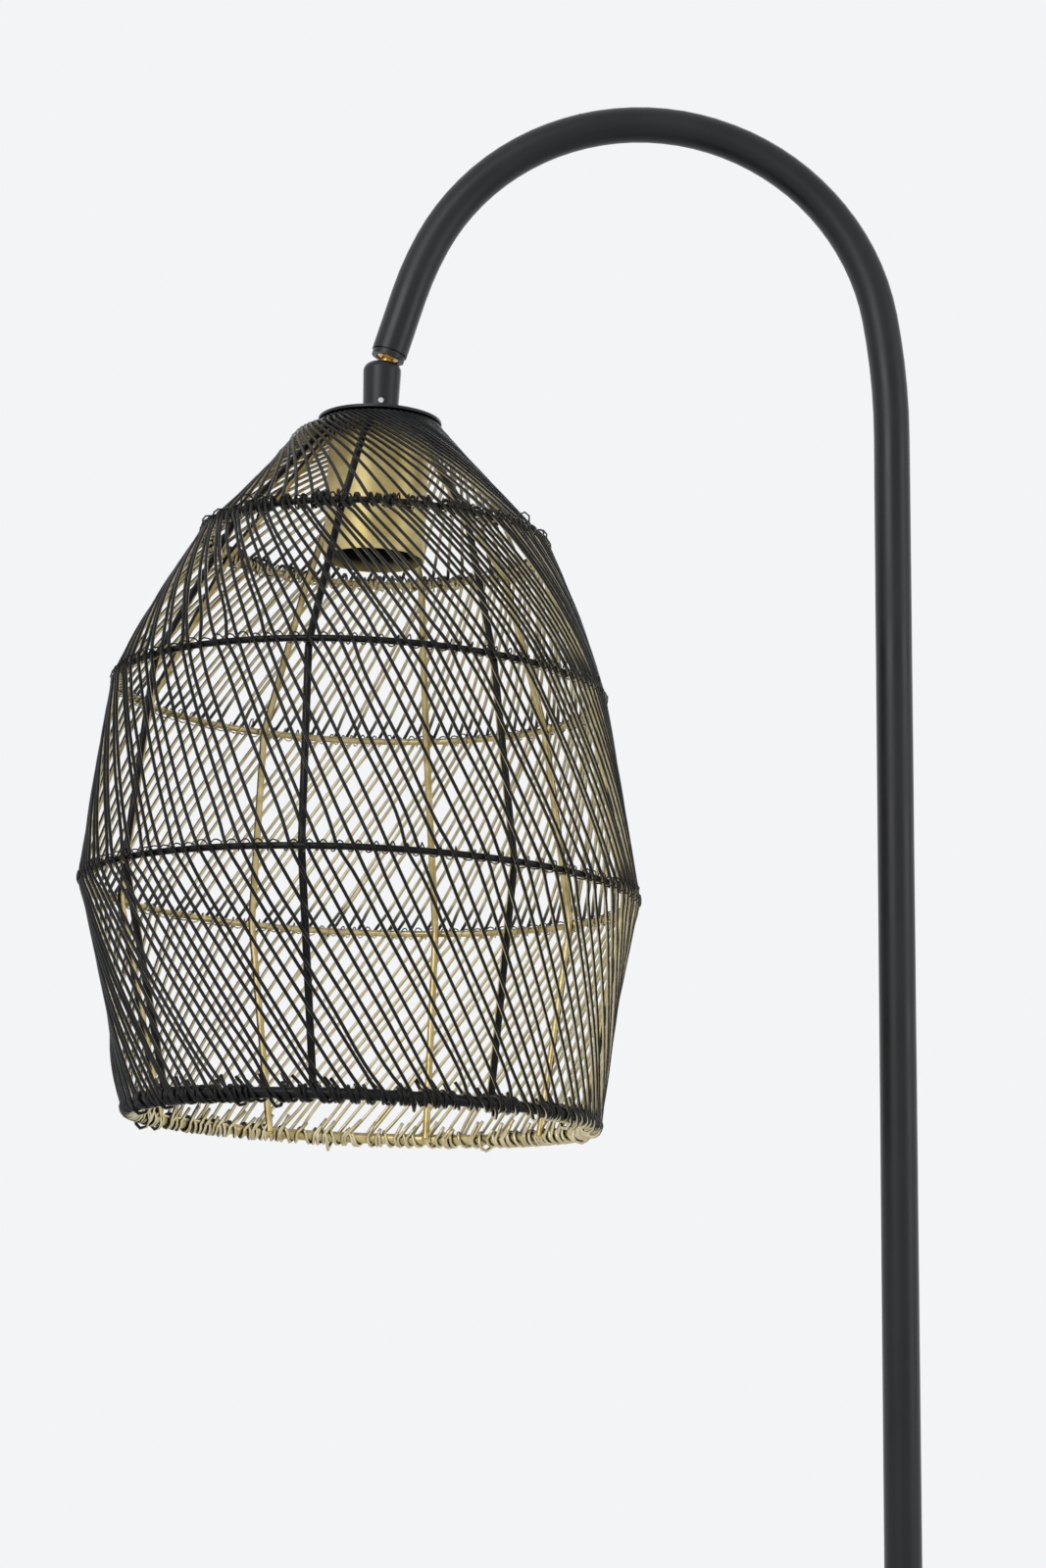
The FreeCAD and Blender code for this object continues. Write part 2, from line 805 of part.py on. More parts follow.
def save(name, shape):
    if not shape.isValid():
        raise ValueError(name + " is not a valid shape")
    shape.exportStep("parts/" + name + ".step")
    print(f"{name:16s} {len(shape.Solids):4d} solids {shape.Volume / 1000:10.3f} cm3")


os.makedirs("parts", exist_ok=True)

save("base_plate", base_plate())
save("base_pads", base_pads())
save("bolt_cover", bolt_cover())
save("foot_washer", foot_washer())
save("foot_bolt", foot_bolt())
save("foot_plug", foot_plug())
save("foot_collar", foot_collar())
save("lower_pole", lower_pole())
save("pole_coupler", pole_coupler())
save("arch_tube", arch_tube())
save("cable_grommet", cable_grommet())
save("pole_lead", pole_lead())

save("arch_end_plug", arch_end_plug())
save("ball_stud", ball_stud())
save("stud_washer", stud_washer())
save("stud_nut", stud_nut())
save("seat_cup", seat_cup())
save("joint_housing", joint_housing())
save("grub_screw", grub_screw())
save("disc_springs", disc_springs())
save("housing_bush", housing_bush())

save("top_plate", top_plate())
save("top_ring", cage_ring(top_ring))
save("upper_ring", cage_ring(upper_ring))
save("middle_ring", cage_ring(middle_ring))
save("wide_ring", cage_ring(wide_ring))
save("rim_ring", cage_ring(rim_ring))
for number, bearing in enumerate(rib_bearings, 1):
    save(f"rib_{number}", rib(bearing))
save("cage_wires", cage_wires())

save("threaded_nipple", threaded_nipple())
save("holder_cup", holder_cup())
save("lock_washer", lock_washer())
save("lock_nut", lock_nut())
save("holder_cap", holder_cap())
save("holder_body", holder_body())
save("socket_insert", socket_insert())
save("socket_shell", socket_shell())
save("centre_contact", centre_contact())
save("shade_lead", shade_lead())

print("ball centre", [round(value, 2) for value in ball_centre], "tail lean", tail_lean)
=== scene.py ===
# %% [markdown]
# # A floor lamp with a cage shade of twisted wires
#
# The lamp is an arched steel tube on a round foot. A bell-shaped shade hangs from a ball joint at
# the end of the arch. Its frame is rings and ribs of steel rod, and thin wires wind down round
# that frame to the rim at the bottom.
#
# The machine parts come ready-made as a frame of solid pieces, so this lesson leaves their shapes
# alone and gives them finishes. The wires are where hand work shows, so they are made again here
# as bent, slightly uneven wire, with the hooks, bindings and cut ends that the solids leave out.
#
# We start by loading the frame.

# %% Load the solid pieces
import json
import math
import random

from collections import namedtuple

import bpy
from mathutils import Matrix, Vector


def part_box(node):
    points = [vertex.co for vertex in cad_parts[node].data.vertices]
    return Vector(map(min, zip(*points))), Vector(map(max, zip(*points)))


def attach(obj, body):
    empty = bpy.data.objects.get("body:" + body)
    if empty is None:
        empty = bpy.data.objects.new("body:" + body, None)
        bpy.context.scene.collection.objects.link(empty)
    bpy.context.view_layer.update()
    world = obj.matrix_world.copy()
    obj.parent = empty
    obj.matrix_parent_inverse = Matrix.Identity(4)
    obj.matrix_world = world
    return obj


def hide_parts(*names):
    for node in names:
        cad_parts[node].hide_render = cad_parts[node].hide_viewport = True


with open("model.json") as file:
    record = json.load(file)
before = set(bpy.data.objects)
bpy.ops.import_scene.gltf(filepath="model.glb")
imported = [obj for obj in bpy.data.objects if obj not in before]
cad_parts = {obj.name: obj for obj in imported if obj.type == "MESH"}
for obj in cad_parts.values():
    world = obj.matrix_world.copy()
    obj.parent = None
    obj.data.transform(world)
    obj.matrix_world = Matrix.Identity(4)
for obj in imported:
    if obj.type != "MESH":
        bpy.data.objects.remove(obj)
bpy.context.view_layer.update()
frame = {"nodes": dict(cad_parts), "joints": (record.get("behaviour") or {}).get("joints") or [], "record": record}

nodes = frame["nodes"]

# %% [markdown]
# The shade hangs with a small lean, so its wires are easiest to lay out about its own axis: a
# radius, a bearing round the axis and a depth below the top disc, all in millimetres. One matrix
# then puts every point where the solid shade hangs. We read the axis from the hinge that turns
# the shade, and the disc's place from its distance below the ball joint.
#
# The wires lean on five rings, so we measure those from the solid pieces. A ring's box gives its
# outer radius and its middle. The rings of a shade bent by hand don't line up quite, and how far
# each middle lies beside the axis is part of the shade's look. Only the thickness of each rod has
# to be told.

# %% The shade's own axis
MM = 0.001
turn_joint = next(joint for joint in frame["joints"] if joint["child"] == "shade")
shade_up = Vector(turn_joint["axis"]).normalized()
ball_centre = Vector(turn_joint["pos_m"])
ball_to_disc = 27.2 * MM
disc_top = ball_centre - shade_up * ball_to_disc
lean = math.asin(shade_up.x)
to_shade = Matrix.Translation(disc_top) @ Matrix.Rotation(lean, 4, "Y") @ Matrix.Scale(MM, 4)
print("disc at", [round(v, 4) for v in disc_top], "lean", round(math.degrees(lean), 2))

rod_diameters = {
    "top_ring": 3.0, "upper_ring": 3.6, "middle_ring": 3.6, "wide_ring": 3.6, "rim_ring": 6.0
}
Ring = namedtuple("Ring", "radius depth rod offset")


def measure(name):
    """A ring's sizes in millimetres; its offset is how far its middle lies beside the axis."""
    low, high = (Vector(corner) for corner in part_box(name))
    rod = rod_diameters[name] / 2
    middle = to_shade.inverted() @ ((low + high) / 2)
    return Ring((high.y - low.y) / 2 / MM - rod, -middle.z, rod, middle.x)


rings = {name: measure(name) for name in rod_diameters}
for name, ring in rings.items():
    print(name, [round(size, 2) for size in ring])


def offset_at(depth):
    """How far the cage's middle lies beside the axis at a depth, from ring to ring."""
    order = list(rings.values())
    for above, below in zip(order, order[1:]):
        if depth < below.depth:
            share = max(0.0, (depth - above.depth) / (below.depth - above.depth))
            return above.offset + (below.offset - above.offset) * share
    return order[-1].offset


def at(radius, bearing, depth):
    """The point at a radius, a bearing in degrees and a depth below the disc, from millimetres."""
    turn = math.radians(bearing)
    side = offset_at(depth)
    return to_shade @ Vector((radius * math.cos(turn) + side, radius * math.sin(turn), -depth))


# %% [markdown]
# ## Finishes
#
# A finish is a small network of shader nodes. Colours are written as the hex values that a
# screen shows, and Blender mixes light in linear numbers, so one function converts them. Another
# adds a node together with its settings, its socket values and its links, which keeps each
# finish short enough to read. Texture positions are in metres, so a third turns the size of a
# real grain into a texture's scale.

# %% Helpers for finishes


def colour(text):
    """Linear RGBA from an sRGB hex value."""
    shares = [int(text[k : k + 2], 16) / 255 for k in (1, 3, 5)]
    linear = [s / 12.92 if s <= 0.04045 else ((s + 0.055) / 1.055) ** 2.4 for s in shares]
    return (*linear, 1.0)


def add(tree, kind, values=None, links=None, **settings):
    """Adds a node: its settings, the values of its sockets, and links from other sockets."""
    made = tree.nodes.new(kind)
    for name, value in settings.items():
        setattr(made, name, value)
    for socket, value in (values or {}).items():
        made.inputs[socket].default_value = value
    for socket, source in (links or {}).items():
        tree.links.new(source, made.inputs[socket])
    return made


def grains(size_mm):
    """A texture's scale for grains this many millimetres across."""
    return 1.0 / (size_mm * MM)


# %% [markdown]
# Most finishes here share one build. A slow noise moves the tone between two colours and the
# gloss between two roughness values, as handling and uneven spraying do, and a fine noise gives
# the skin its grain as bump. What differs is the numbers, and each finish below says where its
# own come from.

# %% A surface whose tone, gloss and grain vary
noise_low, noise_high = 0.35, 0.65


def surface(name, tones, patch_mm, gloss, grain_mm, relief_mm, **values):
    """A finish from two hex tones, a patch size, two roughness values and a grain's size."""
    material = bpy.data.materials.new(name)
    material.use_nodes = True
    tree = material.node_tree
    shader = tree.nodes["Principled BSDF"]
    for socket, value in values.items():
        shader.inputs[socket.replace("_", " ")].default_value = value
    place = add(tree, "ShaderNodeTexCoord").outputs["Object"]
    patches = add(
        tree, "ShaderNodeTexNoise", {"Scale": grains(patch_mm), "Detail": 4.0}, {"Vector": place}
    )
    tone = add(tree, "ShaderNodeValToRGB", links={"Fac": patches.outputs["Fac"]})
    for stop, position, text in zip(tone.color_ramp.elements, (noise_low, noise_high), tones):
        stop.position, stop.color = position, colour(text)
    rough = add(
        tree,
        "ShaderNodeMapRange",
        {"From Min": noise_low, "From Max": noise_high, "To Min": gloss[0], "To Max": gloss[1]},
        {"Value": patches.outputs["Fac"]},
    )
    grain = add(
        tree, "ShaderNodeTexNoise", {"Scale": grains(grain_mm), "Detail": 2.0}, {"Vector": place}
    )
    bump = add(
        tree,
        "ShaderNodeBump",
        {"Strength": 1.0, "Distance": relief_mm * MM},
        {"Height": grain.outputs["Fac"]},
    )
    tree.links.new(tone.outputs["Color"], shader.inputs["Base Color"])
    tree.links.new(rough.outputs["Result"], shader.inputs["Roughness"])
    tree.links.new(bump.outputs["Normal"], shader.inputs["Normal"])
    return material


# %% [markdown]
# The tube, foot, disc and joint housing are steel with a satin black powder coat. The powder is
# sprayed dry and baked, so it flows into a skin with a faint orange peel about a millimetre
# across. To the eye that is a very dark blue-grey with long soft highlights. Handling leaves a
# few pale specks, which we add as the cores of widely spaced cells.

# %% Satin black powder coat
speck_spacing = 30.0
speck_share = 0.016

powder_coat = surface(
    "satin_black_powder_coat",
    tones=("#0B0C0F", "#131418"),
    patch_mm=40.0,
    gloss=(0.33, 0.43),
    grain_mm=1.1,
    relief_mm=0.012,
    IOR=1.5,
    Specular_IOR_Level=0.35,
)
tree = powder_coat.node_tree
shader = tree.nodes["Principled BSDF"]
coat_tone = shader.inputs["Base Color"].links[0].from_socket
place = next(node for node in tree.nodes if node.type == "TEX_COORD").outputs["Object"]
cells = add(
    tree, "ShaderNodeTexVoronoi", {"Scale": grains(speck_spacing)}, {"Vector": place}
)
speck = add(
    tree,
    "ShaderNodeMath",
    {1: speck_share},
    {0: cells.outputs["Distance"]},
    operation="LESS_THAN",
)
specked = add(
    tree,
    "ShaderNodeMixRGB",
    {"Color2": colour("#8A8C92")},
    {"Fac": speck.outputs["Value"], "Color1": coat_tone},
)
tree.links.new(specked.outputs["Color"], shader.inputs["Base Color"])
print("powder coat with a speck about every", speck_spacing, "mm")

# %% [markdown]
# The cage is steel wire that was painted gold, and then sprayed black from the outside. So each
# wire is black on its outer half and gold on its inner half, and the far side of the shade glows
# gold through the near side. Just above each ring the wires are also painted dark on their inner
# side, as a painted shadow.
#
# We could paint this into the mesh, but a shader can work it out: it compares the way a surface
# faces with the direction from which the black paint came, which is from outside, slightly from
# above and a little from one side. Noise makes the edge of the spray ragged. The gold is a matt
# metallic paint, so it has metal's coloured reflections and a fairly high roughness.

# %% Which way a surface faces, seen from the shade's axis


def about_axis(tree):
    """Sockets for the height above the disc and for the direction away from the shade's axis."""
    place = next(node for node in tree.nodes if node.type == "TEX_COORD")
    from_disc = add(
        tree,
        "ShaderNodeVectorMath",
        {1: disc_top},
        {0: place.outputs["Object"]},
        operation="SUBTRACT",
    )
    height = add(
        tree,
        "ShaderNodeVectorMath",
        {1: shade_up},
        {0: from_disc.outputs["Vector"]},
        operation="DOT_PRODUCT",
    )
    along = add(
        tree,
        "ShaderNodeVectorMath",
        {0: shade_up},
        {"Scale": height.outputs["Value"]},
        operation="SCALE",
    )
    radial = add(
        tree,
        "ShaderNodeVectorMath",
        links={0: from_disc.outputs["Vector"], 1: along.outputs["Vector"]},
        operation="SUBTRACT",
    )
    outward = add(
        tree, "ShaderNodeVectorMath", links={0: radial.outputs["Vector"]}, operation="NORMALIZE"
    )
    return height.outputs["Value"], outward.outputs["Vector"]


def facing(tree, outward, from_above):
    """A socket from about 1 on faces that meet the spray to about -1 on faces turned from it."""
    place = next(node for node in tree.nodes if node.type == "TEX_COORD")
    spray = add(
        tree,
        "ShaderNodeVectorMath",
        {1: shade_up * from_above},
        {0: outward},
        operation="ADD",
    )
    return add(
        tree,
        "ShaderNodeVectorMath",
        links={0: spray.outputs["Vector"], 1: place.outputs["Normal"]},
        operation="DOT_PRODUCT",
    ).outputs["Value"]


def black_where(tree, share, black_text):
    """Turns a metallic finish black where a socket is 1; used for black paint and for painted shade."""
    shader = tree.nodes["Principled BSDF"]
    metal_tone = shader.inputs["Base Color"].links[0].from_socket
    mixed = add(
        tree,
        "ShaderNodeMixRGB",
        {"Color2": colour(black_text)},
        {"Fac": share, "Color1": metal_tone},
    )
    metal = add(
        tree, "ShaderNodeMath", {0: 1.0}, {1: share}, operation="SUBTRACT", use_clamp=True
    )
    tree.links.new(mixed.outputs["Color"], shader.inputs["Base Color"])
    tree.links.new(metal.outputs["Value"], shader.inputs["Metallic"])


# %% [markdown]
# The paint itself is one function, used for the wires and for the rods. The direction of the
# spray is turned a little round the axis, so one flank of the shade shows more gold than the
# other. Where a face turns away from the spray the black gives way over a short range, and noise
# shifts that range to and fro. The painted shadow above each ring is a ramp along the shade's depth.

# %% Black over gold
spray_from_above = 0.34
spray_turn = 16.0
spray_edge = (-0.3, 0.0)
spray_raggedness = 0.5
rag_size = 2.5
black_spray = "#090A0C"
# Painted shadow: the wires are painted dark for about this height above each ring; the stops give how dark, from
# so many of these heights above the ring down to it.
painted_shadow_height = 11.0
depth_span = 400.0
painted_shadow_stops = ((1.6, "#000000"), (1.0, "#E0E0E0"), (0.2, "#FFFFFF"), (0.0, "#000000"))


def black_over_gold(name, tones, painted_shadow_depths=()):
    """Gold where the surface faces the shade's axis, black elsewhere, and black as a painted shadow just above
    each given ring depth.
    """
    material = surface(
        name,
        tones=tones,
        patch_mm=9.0,
        gloss=(0.3, 0.42),
        grain_mm=0.7,
        relief_mm=0.01,
        Specular_IOR_Level=0.2,
    )
    tree = material.node_tree
    height, outward = about_axis(tree)
    place = next(node for node in tree.nodes if node.type == "TEX_COORD")
    across_spray = add(
        tree,
        "ShaderNodeVectorRotate",
        {"Axis": shade_up, "Angle": math.radians(spray_turn)},
        {"Vector": outward},
        rotation_type="AXIS_ANGLE",
    )
    slanted = across_spray.outputs["Vector"]
    rags = add(
        tree,
        "ShaderNodeTexNoise",
        {"Scale": grains(rag_size), "Detail": 2.0},
        {"Vector": place.outputs["Object"]},
    )
    ragged = add(
        tree,
        "ShaderNodeMath",
        {1: spray_raggedness},
        {0: rags.outputs["Fac"], 2: facing(tree, slanted, spray_from_above)},
        operation="MULTIPLY_ADD",
    )
    middle = spray_raggedness / 2
    black = add(
        tree,
        "ShaderNodeMapRange",
        {"From Min": spray_edge[0] + middle, "From Max": spray_edge[1] + middle},
        {"Value": ragged.outputs["Value"]},
    ).outputs["Result"]
    # Painted shadow: dark bands on the wires just above each ring.
    if painted_shadow_depths:
        depth = add(
            tree,
            "ShaderNodeMath",
            {1: -1.0 / (depth_span * MM)},
            {0: height},
            operation="MULTIPLY",
        )
        painted_shadow_bands = add(tree, "ShaderNodeValToRGB", links={"Fac": depth.outputs["Value"]})
        ramp = painted_shadow_bands.color_ramp
        ramp.elements.remove(ramp.elements[1])
        ramp.elements[0].color = colour("#000000")
        for ring_depth in painted_shadow_depths:
            for rise, shade in painted_shadow_stops:
                stop = ramp.elements.new((ring_depth - rise * painted_shadow_height) / depth_span)
                stop.color = colour(shade)
        black = add(
            tree,
            "ShaderNodeMath",
            links={0: black, 1: painted_shadow_bands.outputs["Color"]},
            operation="MAXIMUM",
        ).outputs["Value"]
    black_where(tree, black, black_spray)
    return material


# %% [markdown]
# The cup round the lampholder is painted gold. Inside, a few millimetres above its mouth, the gold
# turns black as painted shade in the cup. It is a large plain face, so the paint shows its cloudy
# flake, and its tones lie further apart. The small parts are ordinary stock: turned brass for the
# joint and nipple, zinc-plated steel for bolts and nuts, moulded rubber, nylon and phenolic, an
# extruded sheath on the leads, and glazed porcelain round the lamp's contacts.

# %% Paint, metals and mouldings
gold_paint = surface(
    "matt_gold_paint",
    tones=("#B3A269", "#D6C793"),
    patch_mm=16.0,
    gloss=(0.42, 0.54),
    grain_mm=0.6,
    relief_mm=0.008,
    Specular_IOR_Level=0.3,
)
# Painted shade inside the cup: the inner faces turn black from a little above its mouth upwards.
inside_edge = (-0.15, -0.3)
cup_foot_depth = 79.5
painted_shade_starts_above_mouth = 7.0
tree = gold_paint.node_tree
height, outward = about_axis(tree)
within = add(
    tree,
    "ShaderNodeMapRange",
    {"From Min": inside_edge[0], "From Max": inside_edge[1]},
    {"Value": facing(tree, outward, 0.0)},
)
above_mouth = add(
    tree,
    "ShaderNodeMapRange",
    {"From Min": -cup_foot_depth * MM, "From Max": (painted_shade_starts_above_mouth - cup_foot_depth) * MM},
    {"Value": height},
    interpolation_type="SMOOTHSTEP",
)
painted_shade_in_cup = add(
    tree,
    "ShaderNodeMath",
    links={0: within.outputs["Result"], 1: above_mouth.outputs["Result"]},
    operation="MULTIPLY",
)
# The black inside the cup is painted shade.
black_where(tree, painted_shade_in_cup.outputs["Value"], "#0A0A0B")
# Turned brass: bright yellow metal with a fine cut, so it is fairly sharp.
turned_brass = surface(
    "turned_brass", ("#C79A4B", "#DDB665"), 6.0, (0.22, 0.34), 0.35, 0.004, Metallic=1.0
)
# Zinc plate: pale blue-grey metal, slightly cloudy from the bath.
zinc_plate = surface(
    "zinc_plated_steel", ("#A9ADB2", "#C3C7CB"), 5.0, (0.3, 0.42), 0.5, 0.005, Metallic=1.0
)
# Moulded rubber: a dull black that scatters nearly all its light.
moulded_rubber = surface(
    "moulded_rubber", ("#1C1C1C", "#2A2A29"), 8.0, (0.7, 0.85), 0.5, 0.02, IOR=1.52
)
# Moulded nylon: a waxy off-white.
moulded_nylon = surface(
    "moulded_nylon", ("#D9D5C9", "#E8E5DA"), 8.0, (0.4, 0.5), 0.6, 0.004, IOR=1.53
)
# Extruded PVC sheath: smooth pale grey.
pvc_sheath = surface(
    "extruded_pvc_sheath", ("#C9C9C5", "#DAD9D4"), 12.0, (0.35, 0.45), 1.0, 0.004, IOR=1.53
)
# Moulded phenolic resin: hard, dense black with a soft shine off the mould.
moulded_phenolic = surface(
    "moulded_phenolic", ("#141414", "#1F1E1D"), 14.0, (0.3, 0.42), 0.8, 0.008, IOR=1.6
)
# Glazed porcelain: a clean warm white under clear glaze.
glazed_porcelain = surface(
    "glazed_porcelain", ("#E6E2D8", "#F1EEE6"), 10.0, (0.1, 0.18), 2.0, 0.006, IOR=1.5
)
print("gold paint, metals and mouldings made")

# %% [markdown]
# Every solid piece names a slot in the record, so one table gives each slot its finish. The rods
# of the cage get black over gold without the painted shadow above the rings, which is only on the
# wires. Their gold is a little deeper than the wires', whose lighter gold is a painted highlight
# on the thin wire.

# %% Give every solid piece its finish
rod_paint = black_over_gold("black_over_gold_rod", ("#B29F68", "#DCCB97"))
finishes = {
    "black_powder_coat": powder_coat,
    "black_over_gold_paint": rod_paint,
    "gold_paint": gold_paint,
    "brass": turned_brass,
    "zinc_plated_steel": zinc_plate,
    "rubber": moulded_rubber,
    "nylon": moulded_nylon,
    "lead_sheath": pvc_sheath,
    "black_phenolic": moulded_phenolic,
    "white_porcelain": glazed_porcelain,
}
for part in frame["record"]["subparts"]:
    solid = nodes[part["node"]]
    solid.data.materials.clear()
    solid.data.materials.append(finishes[part["material_slot"]])

# %% [markdown]
# ## Bent wire
#
# A curve object with a round bevel would give a wire, but 120 of them would be 120 pieces with
# one setting each. Instead we sweep a ring of points along each path ourselves, and keep all the
# wires of a kind in one mesh. The ring must not twist as the path turns, so each ring carries
# its side direction on from the ring before it.

# %% Sweep a round wire along a path


def sweep(verts, faces, path, radius, sides):
    """Adds a closed round wire along a path of points; radius in metres."""
    first = len(verts)
    last = len(path) - 1
    side = (path[1] - path[0]).orthogonal()
    for i, point in enumerate(path):
        heading = (path[min(i + 1, last)] - path[max(i - 1, 0)]).normalized()
        side = (side - heading * side.dot(heading)).normalized()
        other = heading.cross(side)
        for j in range(sides):
            turn = 2 * math.pi * j / sides
            verts.append(point + (side * math.cos(turn) + other * math.sin(turn)) * radius)
    for i in range(last):
        for j in range(sides):
            a, b = first + i * sides, first + (i + 1) * sides
            k = (j + 1) % sides
            faces.append((a + j, a + k, b + k, b + j))
    faces.append(tuple(first + j for j in reversed(range(sides))))
    faces.append(tuple(first + last * sides + j for j in range(sides)))


def build(name, verts, faces, material, replaced=()):
    """Makes one piece of the shade from its mesh, hangs it on the shade's body, and hides the solid pieces that it
    replaces.
    """
    mesh = bpy.data.meshes.new(name)
    mesh.from_pydata(verts, [], faces)
    mesh.materials.append(material)
    mesh.shade_smooth()
    made = bpy.data.objects.new(name, mesh)
    bpy.context.scene.collection.objects.link(made)
    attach(made, "shade")
    if replaced:
        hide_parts(*replaced)
    print(name, len(verts), "points", len(faces), "faces")
    return made


# %% [markdown]
# Spring wire bends in smooth curves, so a few knots per wire are enough, and a cubic curve joins
# them. Its direction at each knot is the mean of the two stretches that meet there, with more
# weight on the shorter one, which keeps long stretches calm beside tight hooks.

# %% A smooth curve through knots


def smooth(knots, step):
    """Points about step metres apart on a smooth curve through the knots."""
    lengths = [(b - a).length for a, b in zip(knots, knots[1:])]
    slopes = [(b - a) / length for a, b, length in zip(knots, knots[1:], lengths)]
    tangents = [slopes[0]]
    for i in range(1, len(slopes)):
        before, after = lengths[i - 1], lengths[i]
        tangents.append((slopes[i - 1] * after + slopes[i] * before) / (before + after))
    tangents.append(slopes[-1])
    path = []
    for i, length in enumerate(lengths):
        count = max(1, round(length / step))
        for j in range(count):
            t = j / count
            path.append(
                knots[i] * (2 * t**3 - 3 * t**2 + 1)
                + tangents[i] * length * (t**3 - 2 * t**2 + t)
                + knots[i + 1] * (3 * t**2 - 2 * t**3)
                + tangents[i + 1] * length * (t**3 - t**2)
            )
    path.append(knots[-1])
    return path


# %% [markdown]
# ## The wires
#
# Each wire runs down round the shade, outside the rings, to the rim. Half of them start inside the
# top ring and pass under it. There is no room for more on so small a ring, so the other half start
# at the upper ring, between the first ones: a tail inside, a loose turn round the rod, and away.
#
# The winding is not the same all round, so each stretch has a mean turn, a swing about it and the
# bearing where the turn is largest.
#
# Wires wound by hand are never even. Each one is shifted by up to a degree where it crosses a
# ring, so that some run in pairs. All of it comes from one seeded generator, so every run gives
# the same lamp. Places are written as a radius and a depth in millimetres with a bearing in
# degrees between them.

# %% Lay out the wires
wire_count = 120
wire_radius = 0.95
wire_gap = 0.15
Winding = namedtuple("Winding", "mean swing most_at")
windings = (
    Winding(75.0, 0.0, 0.0),
    Winding(28.0, 6.5, 262.0),
    Winding(25.5, 5.0, 75.0),
    Winding(33.0, 5.0, 98.0),
)
press_angles = {"upper_ring": 32.0, "middle_ring": 19.0, "wide_ring": -2.0}
drift_spread, largest_drift = 0.35, 0.6
shift_spread, largest_shift = 0.55, 0.95
hand = random.Random(11)


def wound(bearing, winding):
    """The bearing that a wire reaches at the foot of a stretch that it enters at a bearing."""
    beyond = math.radians(bearing - winding.most_at)
    return bearing + winding.mean + winding.swing * math.cos(beyond)


def limited(value, limit):
    """The value, held between minus and plus the limit."""
    return max(-limit, min(limit, value))


def from_upper_ring(k):
    """Whether a wire is one of those that start at the upper ring."""
    return k % 2 == 1


def ring_knot(name, bearing):
    """Where a wire's middle lies as it presses on a ring from outside."""
    ring = rings[name]
    rise = math.radians(press_angles[name])
    reach = ring.rod + wire_radius + wire_gap
    return ring.radius + reach * math.cos(rise), bearing, ring.depth - reach * math.sin(rise)


# %% [markdown]
# A wire of the first kind has its cut end inside the top ring, at about the same place for each,
# and then a bend. The knots after them are told from the point where the wire passes under the
# ring: how far out, how far round and how far down each lies from there.
#
# A wire of the second kind is hooked round the upper ring. Its loop stands off the rod a little
# towards the top and the inside, where nothing pulls it tight.

# %% The two kinds of start
end_place = (26.0, -13.0, 9.0)
end_radius_spread = 1.5
end_depth_spread = (-1.5, 3.0)
bend_place = (28.5, -9.0, 7.2)
top_reach = 2.4
top_depth = 3.2
under_top_ring = ((-0.8, -4.5, 1.4), (0.0, 1.0, 0.0), (1.0, 7.0, 1.6))
hook_step = 30
hook_turns = (0, 1, 1)
hook_slack = (0.2, 2.6)
hook_slackest = -1.9
hook_pitch = (3.0, 6.5)
hook_tail = (0.8, 3.0)
hook_tail_aside = 3.0
hook_tail_inward = 0.8


def top_knots(start):
    """Knots of a wire from its cut end inside the top ring to where it leaves the disc."""
    out = end_place[0] + hand.uniform(-end_radius_spread, end_radius_spread)
    down = end_place[2] + hand.uniform(*end_depth_spread)
    radius = rings["top_ring"].radius + top_reach
    end = (out, start + end_place[1], down)
    bend = (bend_place[0], start + bend_place[1], bend_place[2])
    under = [(radius + r, start + turn, top_depth + d) for r, turn, d in under_top_ring]
    return [end, bend] + under


def hook_knots(name, bearing):
    """Knots of a wire's tail inside a ring and of its turns round the rod, up to its ring knot."""
    ring = rings[name]
    snug = ring.rod + wire_radius + wire_gap
    slack = hand.uniform(*hook_slack)
    last_angle = -round(press_angles[name])
    first_angle = last_angle - 180 - 360 * hand.choice(hook_turns)
    tail = hand.uniform(*hook_tail)
    aside = hand.uniform(-hook_tail_aside, hook_tail_aside)
    pitch = hand.uniform(*hook_pitch)
    knots = []
    for angle in range(first_angle, last_angle, hook_step):
        swing = math.radians(angle)
        back = (last_angle - angle) / 360 * pitch
        reach = snug + slack * max(0.0, math.cos(swing - hook_slackest)) ** 2
        knots.append((
            ring.radius + reach * math.cos(swing),
            bearing - math.degrees(back / ring.radius),
            ring.depth + reach * math.sin(swing),
        ))
    radius, turn, depth = knots[0]
    turn += math.degrees(aside / ring.radius)
    return [(radius - hook_tail_inward, turn, depth + tail)] + knots


crossings = {name: [] for name in press_angles}
wire_starts = []
wire_crossings = []
rim_bearings = []
for k in range(wire_count):
    start = 360.0 * k / wire_count
    bearing = start
    drift = limited(hand.gauss(0.0, drift_spread), largest_drift)
    knots = []
    for name, winding in zip(press_angles, windings):
        bearing = wound(bearing, winding)
        shift = limited(drift + hand.uniform(-shift_spread, shift_spread), largest_shift)
        knots.append(ring_knot(name, bearing + shift))
        crossings[name].append((bearing + shift) % 360.0)
    hooked = from_upper_ring(k)
    wire_starts.append(hook_knots("upper_ring", knots[0][1]) if hooked else top_knots(start))
    wire_crossings.append(knots)
    rim_bearings.append(wound(bearing, windings[-1]))
print(wire_count, "wires cross", len(crossings), "rings")

# %% [markdown]
# At the rim each wire goes over the thick rod at a slant, wraps it up to twice more, and ends in a
# cut tail inside that leans back the way the wire came. Here and there a wire was not pulled
# tight, and its first pass under the rod hangs down in a loose bend. We describe a wrap by its
# angle round the rod's section: 0 is the outside, 90 the bottom, 180 the inside.

